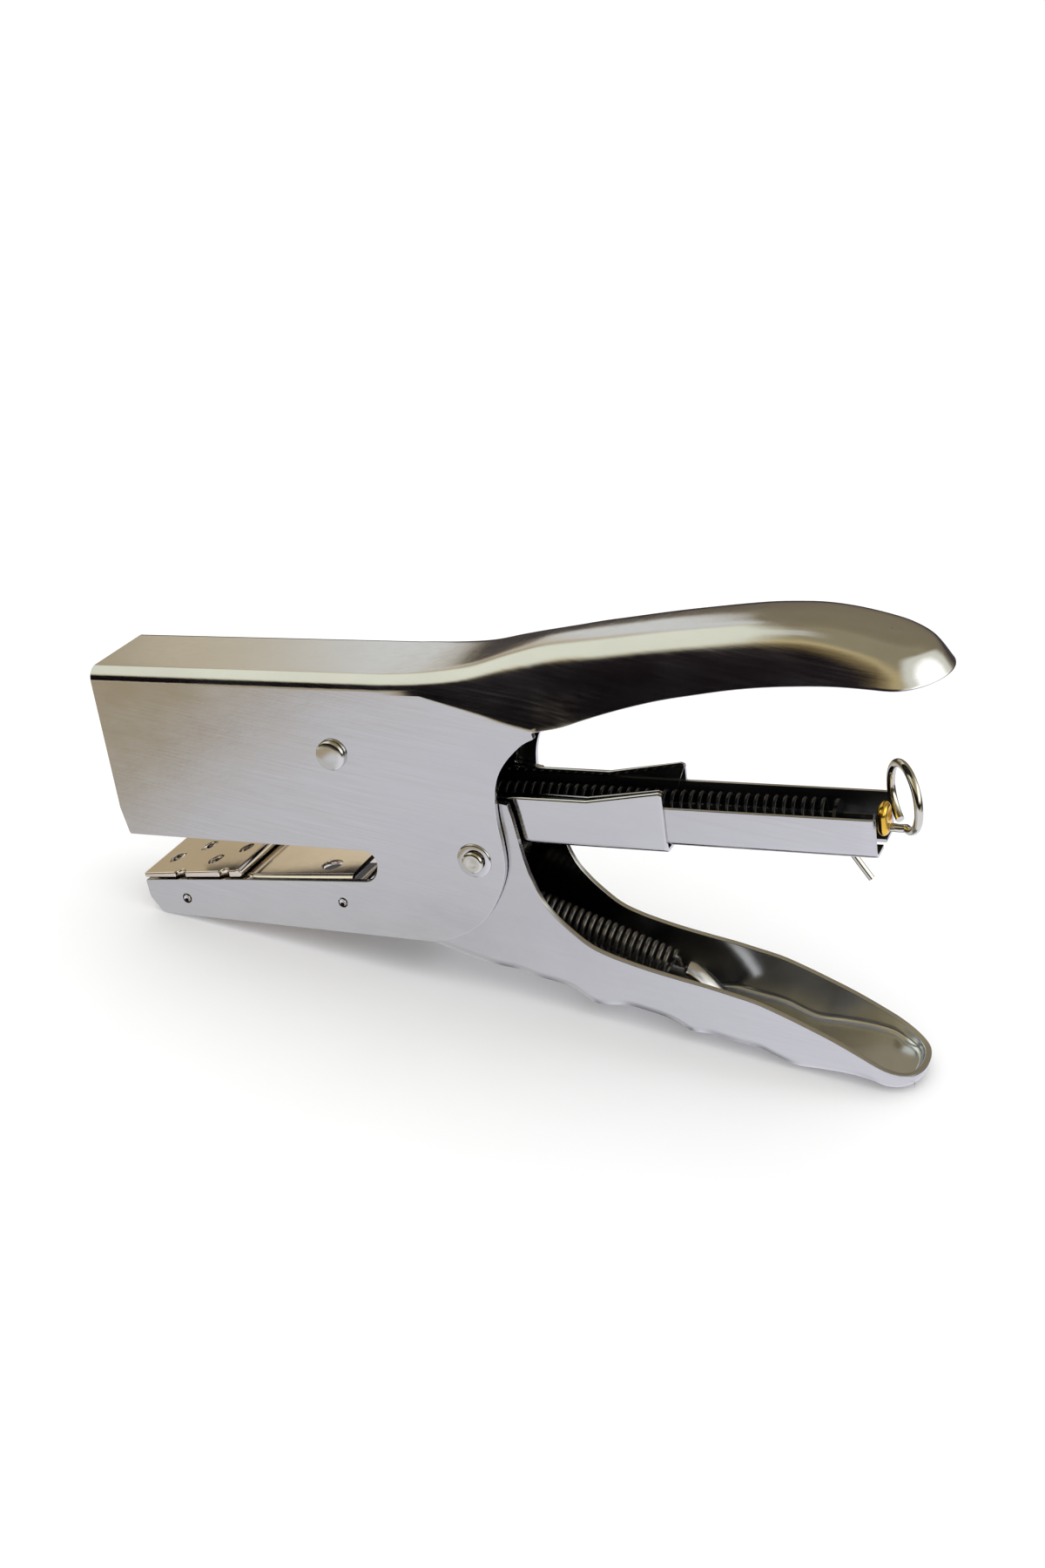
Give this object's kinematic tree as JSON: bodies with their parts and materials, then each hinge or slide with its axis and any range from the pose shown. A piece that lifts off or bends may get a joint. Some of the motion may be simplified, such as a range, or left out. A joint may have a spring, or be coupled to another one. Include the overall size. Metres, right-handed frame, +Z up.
{
  "type": "plier stapler",
  "caption": "Plier stapler of folded sheet steel: C-shaped head with anvil jaw, rolled upper handle, pivoting lower handle, sliding magazine with pull ring.",
  "frame": {"origin": "centre of the bounding box on the surface the stapler stands on", "axes": "+Z up, +X from the head to the handles, +Y across the stapler"},
  "size_m": [0.1664, 0.0232, 0.0847],
  "materials": {
    "anvil_carrier": "plain",
    "anvil_plate": "bright nickel plate",
    "body_shell": "bright nickel plate",
    "driver_blade": "bright nickel plate",
    "driver_block": "plain",
    "driver_pin": "bright nickel plate",
    "end_plug": "bright",
    "follower": "bright nickel plate",
    "guide_rod": "bright nickel plate",
    "inner_washer_far": "bright nickel plate",
    "inner_washer_near": "bright nickel plate",
    "jaw_pin_front": "bright nickel plate",
    "jaw_pin_rear": "bright nickel plate",
    "latch_wire": "bright nickel plate",
    "lower_handle": "bright nickel plate",
    "magazine_channel": "bright nickel plate",
    "magazine_sleeve": "bright nickel plate",
    "nose_guide": "bright nickel plate",
    "outer_washer_far": "bright nickel plate",
    "outer_washer_near": "bright nickel plate",
    "pivot_rivet": "bright nickel plate",
    "pull_ring": "bright nickel plate",
    "pusher_spring": "black oxide",
    "return_spring": "black oxide",
    "spring_hook_pin": "bright nickel plate",
    "stop_pin": "bright nickel plate",
    "stop_sleeve": "bright nickel plate"
  },
  "bodies": {
    "frame": {"body_shell": "body_shell", "anvil_plate": "anvil_plate", "anvil_carrier": "anvil_carrier", "jaw_pin_front": "jaw_pin_front", "jaw_pin_rear": "jaw_pin_rear", "stop_pin": "stop_pin", "stop_sleeve": "stop_sleeve", "pivot_rivet": "pivot_rivet", "outer_washer_near": "outer_washer_near", "outer_washer_far": "outer_washer_far"},
    "lever": {"lower_handle": "lower_handle", "driver_pin": "driver_pin"},
    "magazine": {"magazine_sleeve": "magazine_sleeve", "magazine_channel": "magazine_channel", "nose_guide": "nose_guide", "inner_washer_near": "inner_washer_near", "inner_washer_far": "inner_washer_far", "spring_hook_pin": "spring_hook_pin", "return_spring": "return_spring"},
    "driver": {"driver_block": "driver_block", "driver_blade": "driver_blade"},
    "pullout": {"guide_rod": "guide_rod", "end_plug": "end_plug", "pull_ring": "pull_ring", "latch_wire": "latch_wire"},
    "pusher": {"follower": "follower", "pusher_spring": "pusher_spring"}
  },
  "joints": [
    {"name": "lever_hinge", "type": "hinge", "parent": "frame", "child": "lever", "pos_m": [-0.00177, 0, 0.02873], "axis": [0, -1, 0], "range_deg": [0, 14.5], "stiffness_Nm_per_rad": 2, "springref_deg": -17.19},
    {"name": "magazine_hinge", "type": "hinge", "parent": "lever", "child": "magazine", "pos_m": [-0.00177, 0, 0.02873], "axis": [0, -1, 0], "range_deg": [-5.8, 0], "deforming": ["return_spring"]},
    {"name": "driver_slide", "type": "slide", "parent": "magazine", "child": "driver", "axis": [0.1669, 0, -0.986], "range_m": [0, 0.007]},
    {"name": "pullout_slide", "type": "slide", "parent": "magazine", "child": "pullout", "axis": [0.986, 0, 0.1669], "range_m": [0, 0.09]},
    {"name": "pusher_slide", "type": "slide", "parent": "pullout", "child": "pusher", "axis": [0.986, 0, 0.1669], "range_m": [0, 0.055], "stiffness_N_per_m": 20, "springref_m": -0.02, "deforming": ["pusher_spring"]}
  ],
  "couplings": [
    {"joint": "magazine_hinge", "follows": "lever_hinge", "ratio": -0.4},
    {"joint": "driver_slide", "follows": "lever_hinge", "m_per_rad": 0.02766}
  ]
}
